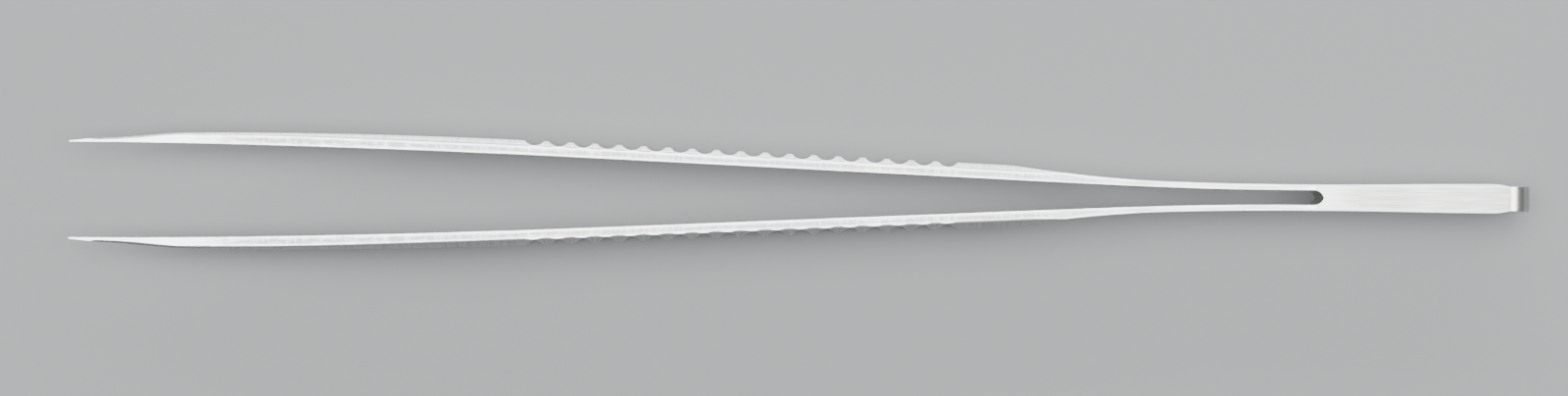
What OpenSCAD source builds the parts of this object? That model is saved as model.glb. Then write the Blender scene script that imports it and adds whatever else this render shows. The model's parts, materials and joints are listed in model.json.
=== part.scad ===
// Microsurgical forceps with spring arms, shown open and lying on their side edges.
// Two halves of stainless strip are welded together over the heel and ground flush. In front of
// the weld each half is a thin leaf spring, then a bevelled grip with scallops across its back,
// then a blade that narrows to a fine tip.
// X runs from the tips (-) to the heel (+), Y across the opening, Z across the width of the arms.

/* [Overall] */
// Length from the tips to the end of the heel
overall_l = 180; // [160:1:210]
// Width of each arm over its grip
arm_w = 8; // [6:0.1:10]
// Thickness of each arm over its grip
arm_t = 1.88; // [1.6:0.02:2.4]

/* [Opening] */
// Gap between the tips of the open forceps
tip_gap = 11.64; // [8:0.1:14]
// Gap between the arms where the spring bend ends and the grips begin to run straight
grip_gap = 4.1; // [3:0.1:5]
// Angle at which each grip leans away from the middle plane
grip_lean = 2.6; // [2:0.1:3.2]
// Angle at which each blade still leans where its fine tip begins
tip_lean = 0.45; // [0:0.05:0.8]

/* [Heel] */
// Length of the welded heel behind the slot
heel_l = 25.8; // [20:0.1:32]
// Width of the heel and of the leaf springs
heel_w = 6; // [4:0.1:7]
// Thickness of the heel at its fullest
heel_t = 3.68; // [3.5:0.02:4.5]
// Thickness of the heel at its polished round end
heel_end_t = 3.12; // [2.6:0.02:3.3]
// Straight length of the polished end
heel_end_l = 3; // [2:0.1:4]
// Length over which the heel is rounded down to its polished end
heel_taper_l = 2.2; // [1.5:0.1:5]

/* [Slot and leaf springs] */
// Width of the slot between the two leaf springs
slot_w = 1.68; // [1.2:0.02:2]
// Radius of each half's milled fillet at the end of the slot
slot_end_r = 1.3; // [1.1:0.05:2]
// Radius of the point where the two fillets meet
slot_tip_r = 0.3; // [0.1:0.05:0.5]
// Straight length of the slot
slot_l = 4.2; // [3:0.1:6]
// Thickness of each leaf spring
leaf_t = 0.82; // [0.6:0.02:1]
// Length of the thin leaf spring, from the end of the slot
leaf_l = 18.2; // [14:0.1:22]
// Radius of the ground run-out from the leaf up to the full thickness of the arm
runout_r = 185; // [120:1:240]
// Length over which each arm bends away from its neighbour
bend_l = 38; // [30:0.5:46]

/* [Grip] */
// Number of scallops across the back of each arm
scallop_n = 18; // [10:1:20]
// Distance from one scallop to the next
scallop_pitch = 2.97; // [2.6:0.01:3.5]
// Radius of each scallop
scallop_r = 1.5; // [1.2:0.05:1.9]
// Depth of each scallop
scallop_depth = 0.57; // [0.3:0.01:0.6]
// Plain length of grip behind the last scallop
grip_back_l = 8; // [5:0.1:12]
// Plain length of grip before the first scallop
grip_front_l = 3; // [2:0.1:5]
// Height of the flat side of the arm below its bevel
side_t = 1.22; // [1:0.02:1.5]
// Softened edge that is left on the leaf springs
edge = 0.08; // [0.04:0.01:0.2]

/* [Blade and tip] */
// Length of the arched front of each arm, in front of the straight grip
arch_l = 62; // [50:1:70]
// Distance from the tip to the shoulder where the blade thins to its neck
shoulder_l = 13.5; // [11:0.1:17]
// Thickness of the blade at the shoulder
shoulder_t = 1.38; // [1.2:0.02:1.5]
// Width of the blade at the shoulder
shoulder_w = 2.2; // [1.8:0.1:3]
// Distance from the tip to the end of the neck
neck_l = 5.6; // [4.5:0.1:6.5]
// Thickness of the neck
neck_t = 0.66; // [0.5:0.02:0.8]
// Width of the neck
neck_w = 0.9; // [0.7:0.05:1.2]
// Share of the blade's thickness that its flat side takes from the shoulder to the tip
shoulder_share = 0.82; // [0.65:0.01:0.9]
// Length of the fine beak at the tip
beak_l = 3; // [2:0.1:4]
// Thickness of the beak where it starts
beak_t = 0.56; // [0.4:0.02:0.7]
// Width of the beak where it starts
beak_w = 0.63; // [0.45:0.01:0.8]
// Thickness of the tip at its end
tip_t = 0.24; // [0.16:0.02:0.4]
// Width of the tip at its end
tip_w = 0.3; // [0.2:0.02:0.6]

/* [Hidden] */

steel = [0.80, 0.80, 0.79];
polished = [0.86, 0.86, 0.85];
mid_z = arm_w / 2;
// The share of the arm's thickness that its flat side takes where the blade starts
blade_share = side_t / arm_t;
// The leaf bends about a line this share of its length in front of the slot
flex_share = 0.6;
// The longest distance between two rings of an arm's loft
ring_step = 2.5;
// A cut reaches this far past the face it goes through
over = 1;

x_tip = -overall_l / 2;
x_beak = x_tip + beak_l;
x_neck = x_tip + neck_l;
x_shoulder = x_tip + shoulder_l;
x_arch = x_neck + arch_l;
x_end = overall_l / 2;
x_slot_end = x_end - heel_l;
x_flex = x_slot_end - flex_share * leaf_l;
x_leaf = x_slot_end - leaf_l;
// The wheel that grinds the leaf runs out tangent to it, so its rise is an arc
x_grip_back = x_leaf - sqrt(2 * runout_r * (arm_t - leaf_t));
x_last_scallop = x_grip_back - grip_back_l;
x_first_scallop = x_last_scallop - (scallop_n - 1) * scallop_pitch;
x_blade = x_first_scallop - scallop_r - grip_front_l;
x_bend = x_slot_end - slot_l;
x_straight = x_bend - bend_l;

// Height at share u of a curve of length l that leaves a with slope ma and meets b with slope mb
function curve(u, l, a, b, ma, mb) =
    a * (1 + 2 * u) * pow(1 - u, 2) + ma * l * u * pow(1 - u, 2)
    + b * u * u * (3 - 2 * u) - mb * l * u * u * (1 - u);

function share(x, from, to) = (x - from) / (to - from);

// The gap's half width at x, which is where an arm's inner face lies
function inner(x) =
    let (s = tan(grip_lean), straight_end = grip_gap / 2 + s * (x_straight - x_arch))
    x >= x_bend ? slot_w / 2
    : x >= x_straight
        ? curve(share(x, x_bend, x_straight), bend_l, slot_w / 2, grip_gap / 2, 0, s)
    : x >= x_arch ? grip_gap / 2 + s * (x_straight - x)
    : x >= x_neck
        ? curve(share(x, x_arch, x_neck), arch_l, straight_end, tip_gap / 2, s, tan(tip_lean))
    : tip_gap / 2;

// Thickness of an arm at x
function thick(x) =
    x >= x_leaf ? leaf_t
    : x >= x_grip_back ? leaf_t + pow(x_leaf - x, 2) / (2 * runout_r)
    : x >= x_blade ? arm_t
    : x >= x_shoulder ? arm_t - (arm_t - shoulder_t) * pow(share(x, x_blade, x_shoulder), 2)
    : x >= x_neck ? shoulder_t - (shoulder_t - neck_t) * share(x, x_shoulder, x_neck)
    : x >= x_beak ? neck_t - (neck_t - beak_t) * share(x, x_neck, x_beak)
    : beak_t - (beak_t - tip_t) * share(x, x_beak, x_tip);

// Width of an arm at x
function wide(x) =
    let (narrowing = (neck_w - shoulder_w) / (shoulder_l - neck_l))
    x >= x_leaf ? heel_w
    : x >= x_grip_back
        ? curve(share(x, x_leaf, x_grip_back), x_leaf - x_grip_back, heel_w, arm_w, 0, 0)
    : x >= x_blade ? arm_w
    : x >= x_shoulder
        ? curve(share(x, x_blade, x_shoulder), x_blade - x_shoulder, arm_w, shoulder_w, 0, narrowing)
    : x >= x_neck ? shoulder_w - (shoulder_w - neck_w) * share(x, x_shoulder, x_neck)
    : x >= x_beak ? neck_w - (neck_w - beak_w) * share(x, x_neck, x_beak)
    : beak_w - (beak_w - tip_w) * share(x, x_beak, x_tip);

// Height of an arm's flat side at x; what is left of its thickness is bevelled
function side(x) =
    x >= x_blade ? min(side_t, thick(x) - edge)
    : x >= x_shoulder
        ? thick(x) * (blade_share + (shoulder_share - blade_share) * share(x, x_blade, x_shoulder))
    : shoulder_share * thick(x);

// One six-cornered section of an arm, from its lower inner corner round to its upper one
function ring(x) =
    let (y = inner(x), t = thick(x), s = side(x), w = wide(x) / 2, b = min(t - s, w / 2))
    [
        [x, y, mid_z - w], [x, y + s, mid_z - w], [x, y + t, mid_z - w + b],
        [x, y + t, mid_z + w - b], [x, y + s, mid_z + w], [x, y, mid_z + w]
    ];

// The places from one station up to, but not on, the next, no further apart than a ring step
function between(a, b) =
    let (n = max(1, ceil((b - a) / ring_step)))
    [for (i = [0 : n - 1]) a + (b - a) * i / n];

function rings(stations) =
    concat(
        [for (i = [0 : len(stations) - 2]) each between(stations[i], stations[i + 1])],
        [stations[len(stations) - 1]]
    );

// A closed skin over a row of six-cornered sections
module loft(xs) {
    n = len(xs);
    m = 6;
    polyhedron(
        points = [for (x = xs) each ring(x)],
        faces = concat(
            [[for (j = [m - 1 : -1 : 0]) j]],
            [[for (j = [0 : m - 1]) (n - 1) * m + j]],
            [for (i = [0 : n - 2], j = [0 : m - 1]) [i * m + j, i * m + (j + 1) % m, (i + 1) * m + j]],
            [for (i = [0 : n - 2], j = [0 : m - 1])
                [i * m + (j + 1) % m, (i + 1) * m + (j + 1) % m, (i + 1) * m + j]]
        ),
        convexity = 6
    );
}

// The scallops milled across the back of one arm
module scallops() {
    for (i = [0 : scallop_n - 1]) {
        x = x_last_scallop - i * scallop_pitch;
        translate([x, inner(x) + arm_t + scallop_r - scallop_depth, -over])
            cylinder(h = arm_w + 2 * over, r = scallop_r, $fn = 64);
    }
}

// One arm from the line where its leaf bends to its tip
module arm() {
    difference() {
        loft(rings([
            x_tip, x_beak, x_neck, x_shoulder, x_blade, x_grip_back, x_leaf, x_flex
        ]));
        scallops();
    }
}

// Half of the slot's outline: the fillet's arc, then the small round where the two halves meet
function slot_half() =
    let (
        // The fillet's centre lies below the wall, and the small circle sits inside the fillet
        cy = slot_w / 2 - slot_end_r,
        reach = sqrt(pow(slot_end_r - slot_tip_r, 2) - cy * cy),
        x0 = x_slot_end - slot_tip_r - reach,
        turn = acos(-cy / (slot_end_r - slot_tip_r))
    )
    concat(
        [[x_flex - over, slot_w / 2]],
        [for (i = [0 : 6]) let (a = turn * i / 6)
            [x0 + slot_end_r * sin(a), cy + slot_end_r * cos(a)]],
        [for (i = [1 : 4]) let (a = turn + (90 - turn) * i / 4)
            [x_slot_end - slot_tip_r + slot_tip_r * sin(a), slot_tip_r * cos(a)]]
    );

// Half of the heel's outline: leaf's back, the weld's slow swell, its rounded shoulder, straight end
function heel_half() =
    let (
        front_t = slot_w / 2 + leaf_t,
        swell_l = heel_l - heel_end_l - heel_taper_l,
        x_full = x_slot_end + swell_l,
        steps = 8
    )
    concat(
        [[x_flex, front_t]],
        [for (i = [0 : steps]) let (u = i / steps)
            [x_slot_end + swell_l * u, curve(u, swell_l, front_t, heel_t / 2, 0, 0)]],
        [for (i = [1 : steps]) let (u = i / steps)
            [x_full + heel_taper_l * u, heel_t / 2 - (heel_t - heel_end_t) / 2 * u * u]],
        [[x_end, heel_end_t / 2]]
    );

// An outline closed by its own mirror image across the middle plane
module both_halves(half) {
    polygon(concat(half, [for (i = [len(half) - 1 : -1 : 0]) [half[i][0], -half[i][1]]]));
}

// The welded heel with the back of both leaf springs
module heel() {
    round_r = heel_w / 2;
    color(polished)
        intersection() {
            translate([0, 0, mid_z - heel_w / 2])
                linear_extrude(heel_w)
                    difference() {
                        both_halves(heel_half());
                        both_halves(slot_half());
                    }
            union() {
                translate([x_flex - over, -heel_t, mid_z - round_r])
                    cube([x_end - round_r - x_flex + over, 2 * heel_t, heel_w]);
                translate([x_end - round_r, -heel_t, mid_z])
                    rotate([-90, 0, 0])
                        cylinder(h = 2 * heel_t, r = round_r, $fn = 96);
            }
        }
}

module right_arm() {
    color(steel) arm();
}

module left_arm() {
    color(steel) mirror([0, 1, 0]) arm();
}

heel();
right_arm();
left_arm();
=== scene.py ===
"""Microsurgical forceps of satin stainless steel, open and lying on their side edges."""
import json
import math

import bmesh
import bpy
import numpy as np
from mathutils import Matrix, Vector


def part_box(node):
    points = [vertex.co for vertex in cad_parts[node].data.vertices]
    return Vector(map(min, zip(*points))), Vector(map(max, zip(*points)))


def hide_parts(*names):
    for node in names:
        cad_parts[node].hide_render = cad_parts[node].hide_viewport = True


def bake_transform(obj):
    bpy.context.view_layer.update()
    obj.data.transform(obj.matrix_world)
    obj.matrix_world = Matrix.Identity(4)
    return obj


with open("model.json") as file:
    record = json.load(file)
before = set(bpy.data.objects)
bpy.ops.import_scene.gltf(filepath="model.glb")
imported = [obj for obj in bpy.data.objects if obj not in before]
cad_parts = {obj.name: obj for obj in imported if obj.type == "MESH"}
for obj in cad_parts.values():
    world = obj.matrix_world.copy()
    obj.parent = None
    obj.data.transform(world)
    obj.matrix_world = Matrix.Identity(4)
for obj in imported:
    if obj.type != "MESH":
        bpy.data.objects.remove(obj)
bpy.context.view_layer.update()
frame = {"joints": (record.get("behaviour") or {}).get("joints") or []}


# The camera looks straight down on the forceps from a little over a third of a metre, with its
# axis near the middle of the object and turned by 0.4 degrees about it. The lens makes the
# object 180 mm of a 193 mm wide picture.
MM = 0.001
camera_height = 368 * MM
camera_x = -1.78 * MM
camera_y = -0.45 * MM
camera_roll = 0.0067
mid_width = 4 * MM
picture_width = 193.24 * MM
sensor = 36.0

camera = bpy.data.objects.new("camera", bpy.data.cameras.new("camera"))
camera.data.sensor_width = sensor
camera.data.lens = sensor * (camera_height - mid_width) / picture_width
camera.data.clip_start = 0.01
camera.data.clip_end = 20
camera.location = (camera_x, camera_y, camera_height)
camera.rotation_euler = (0, 0, camera_roll)
bpy.context.scene.collection.objects.link(camera)
bpy.context.scene.camera = camera


# A plain pale floor and soft studio light: one wide panel overhead, a long one low on the far
# side, which the upper arm's bevels face, and a small one beyond the heel, which its round end
# mirrors. The room around them is evenly lit.
floor_size = 3.0


def linear(hex_colour):
    """Turn an sRGB hex colour into linear RGBA.

    Near black a channel c is divided by 12.92, and above that it is ((c + 0.055) / 1.055) ** 2.4.
    """
    channels = [int(hex_colour[i:i + 2], 16) / 255 for i in (1, 3, 5)]
    return [c / 12.92 if c <= 0.04045 else ((c + 0.055) / 1.055) ** 2.4 for c in channels] + [1.0]


def plain_floor():
    """One square, floor_size across, at the height that the forceps lie on."""
    half = floor_size / 2
    corners = [(-half, -half, 0), (half, -half, 0), (half, half, 0), (-half, half, 0)]
    mesh = bpy.data.meshes.new("floor")
    mesh.from_pydata(corners, [], [(0, 1, 2, 3)])
    material = bpy.data.materials.new("matt_paper")
    material.use_nodes = True
    shader = material.node_tree.nodes["Principled BSDF"]
    shader.inputs["Base Color"].default_value = linear("#6c6d6e")
    shader.inputs["Roughness"].default_value = 0.9
    mesh.materials.append(material)
    floor = bpy.data.objects.new("floor", mesh)
    bpy.context.scene.collection.objects.link(floor)


def panel(name, place, aim, size, power):
    """A rectangular light of the given size in metres, at place and turned to face aim."""
    light = bpy.data.lights.new(name, "AREA")
    light.shape = "RECTANGLE"
    light.size, light.size_y = size
    light.energy = power
    lamp = bpy.data.objects.new(name, light)
    lamp.location = place
    toward = [a - p for a, p in zip(aim, place)]
    lamp.rotation_euler = (
        math.acos(-toward[2] / math.hypot(*toward)),
        0,
        math.atan2(toward[1], toward[0]) - math.pi / 2,
    )
    bpy.context.scene.collection.objects.link(lamp)


plain_floor()
panel("overhead", (-0.1, 0.2, 1.1), (0, 0, 0), (1.4, 1.1), 48.5)
panel("far_side", (0, 0.9, 0.18), (0, 0, 0), (1.6, 0.32), 18.5)
panel("heel_side", (0.64, 0, 0.85), (0, 0, 0), (0.6, 0.34), 10)
world = bpy.data.worlds.new("room")
world.use_nodes = True
world.node_tree.nodes["Background"].inputs["Color"].default_value = linear("#9a9c9e")
world.node_tree.nodes["Background"].inputs["Strength"].default_value = 1.15
bpy.context.scene.world = world


# Each half is one strip of stainless steel: heel, leaf spring, grip and blade in one piece. Its
# outline is milled and ground, its back bevelled, its sides brushed lengthwise, and the two halves
# are welded over the heel and ground flush, so no seam shows. The main sizes come from the frame.
heel_box = [np.array(corner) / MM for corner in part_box("heel")]
arm_box = [np.array(corner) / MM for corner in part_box("right_arm")]
hinge = next(joint for joint in frame["joints"] if joint["child"] == "right_arm")

x_tip = arm_box[0][0]
x_end = heel_box[1][0]
arm_w = arm_box[1][2] - arm_box[0][2]
heel_w = heel_box[1][2] - heel_box[0][2]
heel_t = heel_box[1][1] - heel_box[0][1]
mid_z = (arm_box[0][2] + arm_box[1][2]) / 2
x_flex = hinge["pos_m"][0] / MM

# The grip's section and the opening
arm_t = 1.88
side_t = 1.22
edge = 0.08
tip_gap = 11.64
grip_gap = 4.1
grip_lean = math.tan(math.radians(2.6))
tip_lean = math.tan(math.radians(0.45))

# The heel, the slot and the leaf, which bends about a line flex_share of its length from the slot
heel_l = 25.8
heel_end_t = 3.12
heel_end_l = 3
heel_taper_l = 2.2
slot_w = 1.68
slot_l = 4.2
slot_end_r = 1.3
slot_tip_r = 0.3
leaf_t = 0.82
flex_share = 0.6
runout_r = 185
bend_l = 38

# The arched blade, its shoulder, neck and beak, and the tip
arch_l = 62
shoulder_l = 13.5
shoulder_t = 1.38
shoulder_w = 2.2
neck_l = 5.6
neck_t = 0.66
neck_w = 0.9
beak_l = 3
beak_t = 0.56
beak_w = 0.63
tip_t = 0.24
tip_w = 0.3
tip_r = 0.12

# The scallops, and the plain grip behind and in front of them
scallop_n = 18
scallop_pitch = 2.97
scallop_r = 1.5
scallop_depth = 0.57
grip_back_l = 8
grip_front_l = 3

x_slot_end = x_end - heel_l
x_leaf = x_slot_end - (x_slot_end - x_flex) / flex_share
x_bend = x_slot_end - slot_l
x_straight = x_bend - bend_l
x_grip_back = x_leaf - math.sqrt(2 * runout_r * (arm_t - leaf_t))
x_last_scallop = x_grip_back - grip_back_l
x_first_scallop = x_last_scallop - (scallop_n - 1) * scallop_pitch
x_blade = x_first_scallop - scallop_r - grip_front_l
x_shoulder = x_tip + shoulder_l
x_neck = x_tip + neck_l
x_beak = x_tip + beak_l
x_arch = x_neck + arch_l


def curve(x, start, end, a, b, slope_a=0.0, slope_b=0.0):
    """The cubic from height a at start to height b at end, with slopes given in the direction of travel."""
    length = abs(end - start)
    u = np.clip((x - start) / (end - start), 0, 1)
    return (
        a * (1 + 2 * u) * (1 - u) ** 2 + slope_a * length * u * (1 - u) ** 2
        + b * u * u * (3 - 2 * u) - slope_b * length * u * u * (1 - u)
    )


def step(x, start, end):
    """0 before start, 1 after end, and the smooth cubic 3u^2 - 2u^3 between them."""
    u = np.clip((x - start) / (end - start), 0, 1)
    return u * u * (3 - 2 * u)


def slot_wall(x):
    """Half width of the slot at its end: the fillet's circle, then the small one where the fillets meet."""
    centre_y = slot_w / 2 - slot_end_r
    reach = math.sqrt((slot_end_r - slot_tip_r) ** 2 - centre_y ** 2)
    tip_x = x_slot_end - slot_tip_r
    fillet_x = tip_x - reach
    meet_x = fillet_x + reach * slot_end_r / (slot_end_r - slot_tip_r)
    fillet = centre_y + np.sqrt(np.maximum(slot_end_r ** 2 - np.maximum(x - fillet_x, 0) ** 2, 0))
    round_tip = np.sqrt(np.maximum(slot_tip_r ** 2 - (x - tip_x) ** 2, 0))
    return np.where(x < meet_x, fillet, round_tip)


def inner_face(x):
    """Distance of a half's inner face from the middle plane: slot, spring bend, straight grip, arch."""
    straight_end = grip_gap / 2 + grip_lean * (x_straight - x_arch)
    return np.select(
        [x >= x_slot_end, x >= x_bend, x >= x_straight, x >= x_arch],
        [
            np.zeros_like(x),
            slot_wall(x),
            curve(x, x_bend, x_straight, slot_w / 2, grip_gap / 2, 0, grip_lean),
            grip_gap / 2 + grip_lean * (x_straight - x),
        ],
        curve(x, x_arch, x_neck, straight_end, tip_gap / 2, grip_lean, tip_lean),
    )


def arm_thickness(x):
    """Thickness before the scallops are cut: leaf, the wheel's run-out, even grip, then thinning blade."""
    blade_u = np.clip((x_blade - x) / (x_blade - x_shoulder), 0, 1)
    return np.select(
        [x >= x_leaf, x >= x_grip_back, x >= x_blade, x >= x_shoulder, x >= x_neck, x >= x_beak],
        [
            np.full_like(x, leaf_t),
            leaf_t + (x_leaf - x) ** 2 / (2 * runout_r),
            np.full_like(x, arm_t),
            arm_t - (arm_t - shoulder_t) * blade_u ** 2,
            neck_t + (shoulder_t - neck_t) * (x - x_neck) / (shoulder_l - neck_l),
            beak_t + (neck_t - beak_t) * (x - x_beak) / (neck_l - beak_l),
        ],
        tip_t + (beak_t - tip_t) * (x - x_tip) / beak_l,
    )


def ground_thickness(x):
    """The arm's thickness with its corners rounded, as hand grinding leaves them.

    Each value is the mean of the thickness around it, weighted by a bell curve of that reach.
    """
    reach = 0.5
    pitch = 0.05
    grid = np.arange(x_tip - 6 * reach, x_end + 6 * reach, pitch)
    offsets = np.arange(-3 * reach, 3 * reach + pitch / 2, pitch)
    bell = np.exp(-0.5 * (offsets / reach) ** 2)
    smooth = np.convolve(arm_thickness(np.clip(grid, x_tip, x_end)), bell / bell.sum(), mode="same")
    return np.interp(x, grid, smooth)


def scallop_floor(x):
    """Thickness left under the scallops: a circle of radius scallop_r about the nearest one's centre."""
    index = np.clip(np.round((x_last_scallop - x) / scallop_pitch), 0, scallop_n - 1)
    off = np.abs(x - (x_last_scallop - index * scallop_pitch))
    return arm_t - scallop_depth + scallop_r - np.sqrt(np.maximum(scallop_r ** 2 - off ** 2, 0))


def outer_face(x):
    """Distance of the back from the middle plane: the arm with its scallops, the heel's swell and drop.

    The scallops meet the back in a softened minimum, so their lips are rounded over the burr's size.
    """
    burr = 0.012
    cut = -burr * np.logaddexp(-ground_thickness(x) / burr, -scallop_floor(x) / burr)
    x_full = x_end - heel_end_l - heel_taper_l
    swell = curve(x, x_slot_end, x_full, slot_w / 2 + leaf_t, heel_t / 2)
    drop = (heel_t - heel_end_t) / 2 * np.clip((x - x_full) / heel_taper_l, 0, 1) ** 2
    return np.where(x < x_bend, inner_face(x) + cut, swell - drop)


def width(x):
    """Width of the strip: fine tip, widening blade, even grip, narrower leaf and heel, full-round end."""
    widening = (shoulder_w - neck_w) / (shoulder_l - neck_l)
    round_r = heel_w / 2
    round_end = 2 * np.sqrt(np.maximum(round_r ** 2 - np.maximum(x - (x_end - round_r), 0) ** 2, 0))
    return np.select(
        [x >= x_leaf, x >= x_grip_back, x >= x_blade, x >= x_shoulder, x >= x_neck, x >= x_beak],
        [
            round_end,
            curve(x, x_leaf, x_grip_back, heel_w, arm_w),
            np.full_like(x, arm_w),
            curve(x, x_blade, x_shoulder, arm_w, shoulder_w, 0, -widening),
            shoulder_w - widening * (x_shoulder - x),
            neck_w + (beak_w - neck_w) * (x_neck - x) / (neck_l - beak_l),
        ],
        beak_w + (tip_w - beak_w) * (x_beak - x) / beak_l,
    )


def stations():
    """Ring places: an even row along the whole strip, and close rows by angle round every arc and edge."""
    even_pitch = 0.4
    end_margin = 0.1
    least_gap = 0.006
    slot_round_l = 1.6
    beside_lip = np.array([-0.06, -0.03, 0.0, 0.03, 0.06, 0.12])
    behind_slot = np.array([0.02, 0.06, 0.15])
    beside_end_step = np.array([-0.3, -0.1, -0.04, -0.02, 0.02, 0.04])

    rows = [np.arange(x_tip, x_end - end_margin, even_pitch)]
    half_chord = math.sqrt(scallop_r ** 2 - (scallop_r - scallop_depth) ** 2)
    reach = math.asin(half_chord / scallop_r)
    arc = scallop_r * np.sin(np.linspace(-reach, reach, 17))
    lip = half_chord + beside_lip
    for i in range(scallop_n):
        rows.append(x_last_scallop - i * scallop_pitch + np.concatenate([arc, lip, -lip]))
    quarter = np.linspace(0, math.pi / 2, 13)
    rows.append(x_tip + tip_r * (1 - np.cos(quarter)))
    rows.append(x_end - heel_w / 2 + heel_w / 2 * np.sin(quarter))
    rows.append(x_slot_end - slot_tip_r * (1 - np.sin(quarter)))
    rows.append(x_slot_end - slot_round_l + np.linspace(0, slot_round_l, 14))
    rows.append(x_slot_end + behind_slot)
    rows.append(x_end - heel_end_l - heel_taper_l * np.linspace(0, 1, 9))
    rows.append(x_end - heel_end_l + beside_end_step)
    x = np.unique(np.concatenate(rows))
    return x[np.concatenate([[True], np.diff(x) > least_gap])]


def side_width(x, whole):
    """Width of the flat side: nearly all of the beak, a falling share of the blade, side_t on the grip."""
    beak_share = 0.92
    neck_share = 0.68
    shoulder_share = 0.82
    blade_share = 0.65
    share = (
        beak_share - (beak_share - neck_share) * step(x, x_beak - 0.2, x_beak + 0.4)
        + (shoulder_share - neck_share) * step(x, x_neck, x_shoulder)
        - (shoulder_share - blade_share) * step(x, x_shoulder, x_blade)
    )
    on_arm = np.where(x < x_blade, share * whole, np.minimum(side_t, whole - edge))
    return np.where(x < x_bend, on_arm, whole - edge)


def sections(x):
    """Six-cornered sections, one a row, as (height from the middle plane, place across the width)."""
    least_bevel = 0.02
    inner = inner_face(x)
    outer = outer_face(x)
    thick = outer - inner
    whole = np.where(x < x_bend, ground_thickness(x), thick)
    side = np.minimum(side_width(x, whole), thick - least_bevel)
    half = width(x) / 2
    bevel = np.minimum(whole - side, half / 2) * (thick - side) / (whole - side)
    lower = [(inner, -half), (inner + side, -half), (outer, -(half - bevel))]
    upper = [(y, -z) for y, z in reversed(lower)]
    return np.stack([np.stack(corner, axis=-1) for corner in lower + upper], axis=1)


def edge_radii(x):
    """Radius of each corner in the sections' order: inner, side-to-bevel and bevel-to-back, and again.

    The inner edges run out to nothing behind the slot, and the rest are larger on the arm. The
    side-to-bevel edge grows towards the grip, and again just before the heel's polished end.
    """
    inner_r = 0.12
    belt_r = 0.08
    arm_extra = 0.14
    grip_extra = 0.45
    end_extra = 0.25
    end_fade_l = 1.5
    back_r = 0.06
    arm_back_extra = 0.1
    x_flat_end = x_end - heel_end_l
    on_arm = 1 - step(x, x_grip_back, x_leaf)
    at_end = step(x, x_flat_end - end_fade_l, x_flat_end)
    inner = inner_r * np.sqrt(np.clip(inner_face(x) / (slot_w / 2), 0, 1))
    shoulder = belt_r + on_arm * (arm_extra + grip_extra * step(x, x_neck, x_blade)) + end_extra * at_end
    back = back_r + arm_back_extra * on_arm
    return np.stack([inner, shoulder, back, back, shoulder, inner], axis=1)


# Round a section each corner gives a guard point, its arc, another guard and the flat's points
arc_points = 5
flat_shares = (0.25, 0.5, 0.75)
corner_columns = 2 + arc_points + len(flat_shares)


def rounded(corners, radii):
    """Each corner of every section becomes a parabola through points a tangent length to both its sides.

    The guard points lie a little past the parabola's ends and keep the flats beside it flat.
    """
    most_turn = 2.6
    most_share = 0.4
    guard_share = 0.08
    guard_reach = 0.8
    least_l = 1e-9
    before = np.roll(corners, 1, axis=1) - corners
    after = np.roll(corners, -1, axis=1) - corners
    before_l = np.maximum(np.linalg.norm(before, axis=2), least_l)
    after_l = np.maximum(np.linalg.norm(after, axis=2), least_l)
    cosine = -np.sum(before * after, axis=2) / (before_l * after_l)
    turn = np.arccos(np.clip(cosine, -1, 1))
    wanted = radii * np.tan(np.minimum(turn, most_turn) / 2)
    tangent = np.minimum(wanted, most_share * np.minimum(before_l, after_l))
    start = corners + before * (tangent / before_l)[..., None]
    end = corners + after * (tangent / after_l)[..., None]
    guard_before_l = tangent + guard_share * np.minimum(before_l, guard_reach)
    guard_after_l = tangent + guard_share * np.minimum(after_l, guard_reach)
    guard_before = corners + before * (guard_before_l / before_l)[..., None]
    guard_after = corners + after * (guard_after_l / after_l)[..., None]
    rows = []
    for j in range(corners.shape[1]):
        rows.append(guard_before[:, j])
        for t in np.linspace(0, 1, arc_points):
            rows.append((1 - t) ** 2 * start[:, j] + 2 * t * (1 - t) * corners[:, j] + t * t * end[:, j])
        rows.append(guard_after[:, j])
        following = guard_before[:, (j + 1) % corners.shape[1]]
        for t in flat_shares:
            rows.append((1 - t) * guard_after[:, j] + t * following)
    return np.stack(rows, axis=1)


def half_points():
    """The strip's skin as a grid: rounded sections along X, drawn together to a point round the tip."""
    x = stations()
    grid = rounded(sections(x), edge_radii(x))
    closing = np.sqrt(np.clip(1 - (1 - np.clip((x - x_tip) / tip_r, 0, 1)) ** 2, 0, 1))
    centre = grid.mean(axis=1, keepdims=True)
    grid = centre + (grid - centre) * closing[:, None, None]
    along = np.repeat(x[:, None], grid.shape[1], axis=1)
    return np.stack([along, grid[..., 0], grid[..., 1] + mid_z], axis=-1)


# Length over which the polishing of the tips runs out into the blade's cross-ground middle band and its
# painted shade
tip_polish_fade_l = 12


def ticks_and_shade_band(x, share):
    """1 in the middle of the arm's flat side and 0 at its borders: there cross-ground ticks are drawn and
    the band is darkened as painted shade.
    """
    across = step(share, 0.22, 0.4) * (1 - step(share, 0.6, 0.8))
    along = step(x, x_shoulder, x_shoulder + tip_polish_fade_l) * (1 - step(x, x_grip_back, x_leaf))
    return across * along


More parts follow.
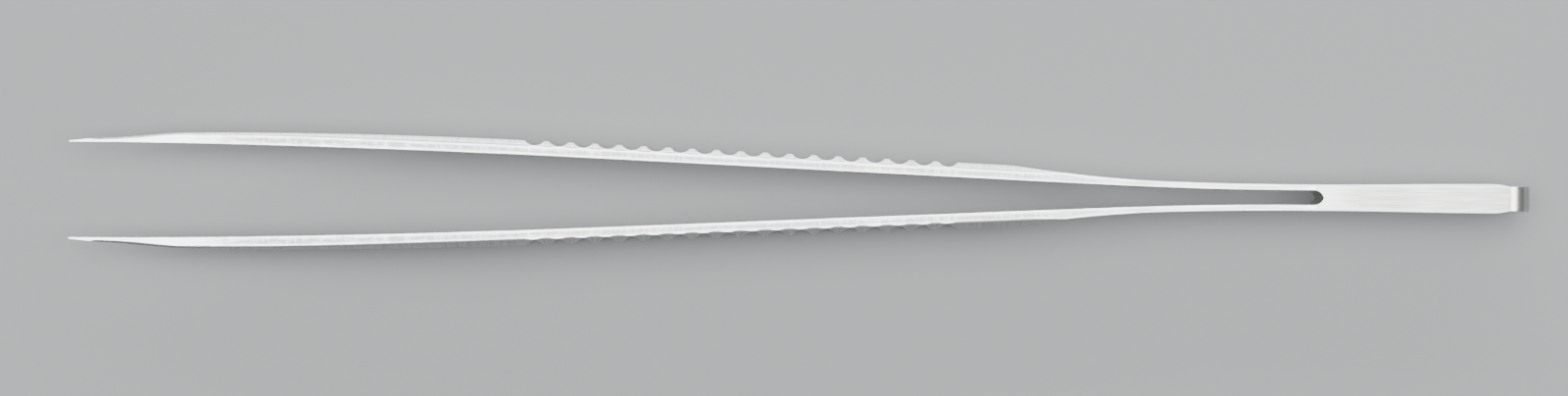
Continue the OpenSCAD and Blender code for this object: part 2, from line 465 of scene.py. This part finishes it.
def polish_and_painted_light(x, y, share):
    """How bright the steel is drawn: the edges of the flat sides, rounded and polished by the wheel and
    brightened further as painted highlights, and the polishing of the tips and of a ring round the slot's
    end.

    Share is 0 at the side's inner edge, 1 at its outer edge and more on the bevel and the back.
    Below 0 the steel is drawn darker: painted shade on the tips' bevels, for bevels that face away from the
    light, and on the heel's side, which is duller behind the slot, darkened towards its end as painted
    shade, and darkest in a thin line where the belt stopped.
    """
    slot_ring_r = 2.2
    x_flat_end = x_end - heel_end_l
    # Both edge bands of the flat side are painted highlights, on edges that the wheel rounded and polished
    inner_edge = (1 - step(share, 0.1, 0.4)) * (1 - step(x, x_slot_end - 1.5, x_slot_end))
    behind_leaf = 1 - 0.6 * step(share, 1.0, 1.04) * (x > x_leaf)
    edges = inner_edge + behind_leaf * step(share, 0.7, 0.95)
    slot_ring = np.exp(-(np.hypot(x - x_slot_end, y) / slot_ring_r) ** 4)
    tips = 1 - step(x, x_shoulder, x_shoulder + tip_polish_fade_l)
    # The tips' bevels are darkened as painted shade, for bevels that face away from the light
    before_shoulder = step(x, x_beak, x_beak + 0.5) * (1 - step(x, x_shoulder - 1, x_shoulder + 5))
    tip_bevel = step(share, 1.0, 1.2) * before_shoulder
    # The heel's side: duller behind the slot, darkened towards its end as painted shade, and darkest in a
    # thin line where the belt stopped
    darkening = (
        0.25 * step(x, x_slot_end, x_slot_end + 5)
        + 0.35 * step(x, x_flat_end - 10, x_flat_end)
        + 0.6 * step(x, x_flat_end - 0.3, x_flat_end - 0.1)
    )
    on_flat = (share < 1) & (x < x_flat_end)
    return np.maximum.reduce([0.8 * edges, slot_ring, tips]) - darkening * on_flat - 1.8 * tip_bevel


def half_mesh(name, side):
    """A closed mesh from the grid, turned to its side of the middle plane, with its faces pointing out.

    The back and the bevels run from the middle of the first side-to-bevel arc to that of the second.
    """
    points = half_points()
    rings, around = points.shape[:2]
    index = np.arange(rings * around).reshape(rings, around)
    here, there = index[:-1], index[1:]
    loops = [here, np.roll(here, -1, axis=1), np.roll(there, -1, axis=1), there]
    quads = np.stack(loops, axis=-1).reshape(-1, 4)
    if side < 0:
        quads = quads[:, ::-1]
    mesh = bpy.data.meshes.new(name)
    mesh.from_pydata((points * [1, side, 1] * MM).reshape(-1, 3).tolist(), [], quads.tolist())

    x, y = points[..., 0], points[..., 1]
    whole = np.where(x < x_bend, ground_thickness(x), outer_face(x) - inner_face(x))
    share = (y - inner_face(x)) / side_width(x, whole)
    belt_guide = np.where(x < x_bend, inner_face(x), slot_w / 2)
    strip = np.stack([x, y - belt_guide, points[..., 2]], axis=-1)
    mesh.attributes.new("strip_mm", "FLOAT_VECTOR", "POINT").data.foreach_set("vector", strip.ravel())
    mesh.attributes.new("ticks_and_shade", "FLOAT", "POINT").data.foreach_set("value", ticks_and_shade_band(x, share).ravel())
    mesh.attributes.new("polish_and_painted_light", "FLOAT", "POINT").data.foreach_set("value", polish_and_painted_light(x, y, share).ravel())

    first_bevel, second_bevel = 1, 4
    arc_middle = 1 + arc_points // 2
    column = np.arange(around)
    on_back = (
        (column >= first_bevel * corner_columns + arc_middle)
        & (column < second_bevel * corner_columns + arc_middle)
    )
    x_satin = x_slot_end - 1.0
    x_polished = x_end - heel_end_l - 0.01
    # The finishes in the order of the steels: 0 brushed, 1 cross ground, 2 satin, 3 polished
    finish = np.where(on_back[None, :] & (x[:-1] < x_leaf), 1, 0)
    finish = np.where(~on_back[None, :] & (x[:-1] > x_satin), 2, finish)
    finish = np.where(~on_back[None, :] & (x[:-1] > x_polished), 3, finish)
    mesh.polygons.foreach_set("material_index", finish.ravel())
    return mesh


def closed(mesh):
    """Merge the points that the tip and the round end draw together, and drop faces that vanish there."""
    same_place = 1e-7
    no_length = 1e-8
    sharp_angle = math.radians(40)
    work = bmesh.new()
    work.from_mesh(mesh)
    bmesh.ops.remove_doubles(work, verts=work.verts, dist=same_place)
    bmesh.ops.dissolve_degenerate(work, edges=work.edges, dist=no_length)
    bmesh.ops.recalc_face_normals(work, faces=work.faces)
    work.to_mesh(mesh)
    work.free()
    mesh.shade_smooth()
    mesh.set_sharp_from_angle(angle=sharp_angle)


# All four finishes are the same steel. Grinding lines are 0.03 to 0.1 mm apart on such steel. They
# are drawn 0.17 to 0.33 mm apart, as coarse as they need to be to show in the render, and the
# ticks of the coarse band 0.3 mm apart.
ticks_per_mm = 3.3


def add(material, kind, settings, feeds):
    """Add one node with its settings and links.

    Settings go to its attributes or sockets. Feeds give an input's name or number and its source.
    """
    node = material.node_tree.nodes.new(kind)
    for key, value in settings.items():
        if isinstance(key, int) or key in node.inputs:
            node.inputs[key].default_value = value
        else:
            setattr(node, key, value)
    for key, source in feeds.items():
        material.node_tree.links.new(source, node.inputs[key])
    return node


def ground_steel(name, dark, light, roughness, lines_per_mm, depth):
    """Stainless steel under grinding lines, lines_per_mm of them along X, across the strip and along Z.

    The lines, the middle band's cross ticks and painted shade, and the polishing with its painted highlights
    and shade add up to one value from 0, darkest, to 1, brightest.
    """
    noise_reach = {"From Min": 0.3, "From Max": 0.7}
    polish_and_light_share = 0.4
    material = bpy.data.materials.new(name)
    material.use_nodes = True
    shader = material.node_tree.nodes["Principled BSDF"]
    shader.inputs["Metallic"].default_value = 1.0
    strip = add(material, "ShaderNodeAttribute", {"attribute_name": "strip_mm"}, {}).outputs["Vector"]
    # Mask of the flat side's middle band, for its cross ticks and its painted shade
    ticks_and_shade = add(material, "ShaderNodeAttribute", {"attribute_name": "ticks_and_shade"}, {}).outputs["Fac"]
    # Polishing together with painted highlights and painted shade, from the mesh's attribute
    polished = add(material, "ShaderNodeAttribute", {"attribute_name": "polish_and_painted_light"}, {}).outputs["Fac"]

    stretch = add(material, "ShaderNodeMapping", {"Scale": lines_per_mm}, {"Vector": strip})
    lines = add(
        material, "ShaderNodeTexNoise", {"Scale": 1.0, "Detail": 2.0},
        {"Vector": stretch.outputs["Vector"]},
    )
    tick_stretch = add(
        material, "ShaderNodeMapping", {"Scale": (ticks_per_mm, 0.5, 0.5)}, {"Vector": strip},
    )
    ticks = add(
        material, "ShaderNodeTexNoise", {"Scale": 1.0, "Detail": 1.0},
        {"Vector": tick_stretch.outputs["Vector"]},
    )

    grain = add(
        material, "ShaderNodeMapRange", {**noise_reach, "To Min": 0.2, "To Max": 0.8},
        {"Value": lines.outputs["Fac"]},
    )
    # The ticks' tone is all below zero, so the middle band is also darkened as painted shade
    tick_and_shade_tone = add(
        material, "ShaderNodeMapRange", {**noise_reach, "To Min": -0.75, "To Max": -0.15},
        {"Value": ticks.outputs["Fac"]},
    )
    with_ticks_and_shade = add(
        material, "ShaderNodeMath", {"operation": "MULTIPLY_ADD"},
        {0: tick_and_shade_tone.outputs["Result"], 1: ticks_and_shade, 2: grain.outputs["Result"]},
    )
    shine = add(
        material, "ShaderNodeMath", {"operation": "MULTIPLY_ADD", 1: polish_and_light_share, "use_clamp": True},
        {0: polished, 2: with_ticks_and_shade.outputs["Value"]},
    )
    tone = add(material, "ShaderNodeValToRGB", {}, {"Fac": shine.outputs["Value"]})
    tone.color_ramp.elements[0].color = linear(dark)
    tone.color_ramp.elements[1].color = linear(light)
    rough = add(
        material, "ShaderNodeMapRange", {"To Min": roughness[1], "To Max": roughness[0]},
        {"Value": shine.outputs["Value"]},
    )
    bump = add(
        material, "ShaderNodeBump", {"Strength": 1.0, "Distance": depth * MM},
        {"Height": lines.outputs["Fac"]},
    )
    material.node_tree.links.new(tone.outputs["Color"], shader.inputs["Base Color"])
    material.node_tree.links.new(rough.outputs["Result"], shader.inputs["Roughness"])
    material.node_tree.links.new(bump.outputs["Normal"], shader.inputs["Normal"])
    return material


steels = [
    # The flat sides and inner faces: brushed lengthwise on a belt, so light draws out into long streaks.
    ground_steel("brushed_stainless", "#8f9090", "#d0d0cf", (0.22, 0.42), (0.15, 5.0, 5.0), 0.004),
    # Bevels, backs and scallops: ground across by the wheel's rim, so they look matt and finely barred.
    ground_steel("cross_ground_stainless", "#878888", "#c4c4c3", (0.3, 0.48), (5.0, 0.4, 0.4), 0.006),
    # The heel after welding: finished on a finer belt, so it looks smoother and a little greyer.
    ground_steel("satin_stainless", "#888a86", "#bbbdb9", (0.28, 0.4), (0.2, 6.0, 6.0), 0.003),
    # The round end: polished on a soft wheel, so it mirrors the room in bands.
    ground_steel("polished_stainless", "#999794", "#b8b6b2", (0.2, 0.3), (3.0, 0.3, 3.0), 0.0005),
]

# Each half is built as one closed mesh with the four steels, in place of its CAD arm and the heel. The
# leaf's bending stretch starts at the slot's end and has its joint's line in the middle, but nothing here
# bends it.
for half_name, arm_name, half_side in (("right_half", "right_arm", 1), ("left_half", "left_arm", -1)):
    half_shape = half_mesh(half_name, half_side)
    closed(half_shape)
    for steel in steels:
        half_shape.materials.append(steel)
    half = bpy.data.objects.new(half_name, half_shape)
    bpy.context.scene.collection.objects.link(half)
    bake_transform(half)
    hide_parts(arm_name, "heel")
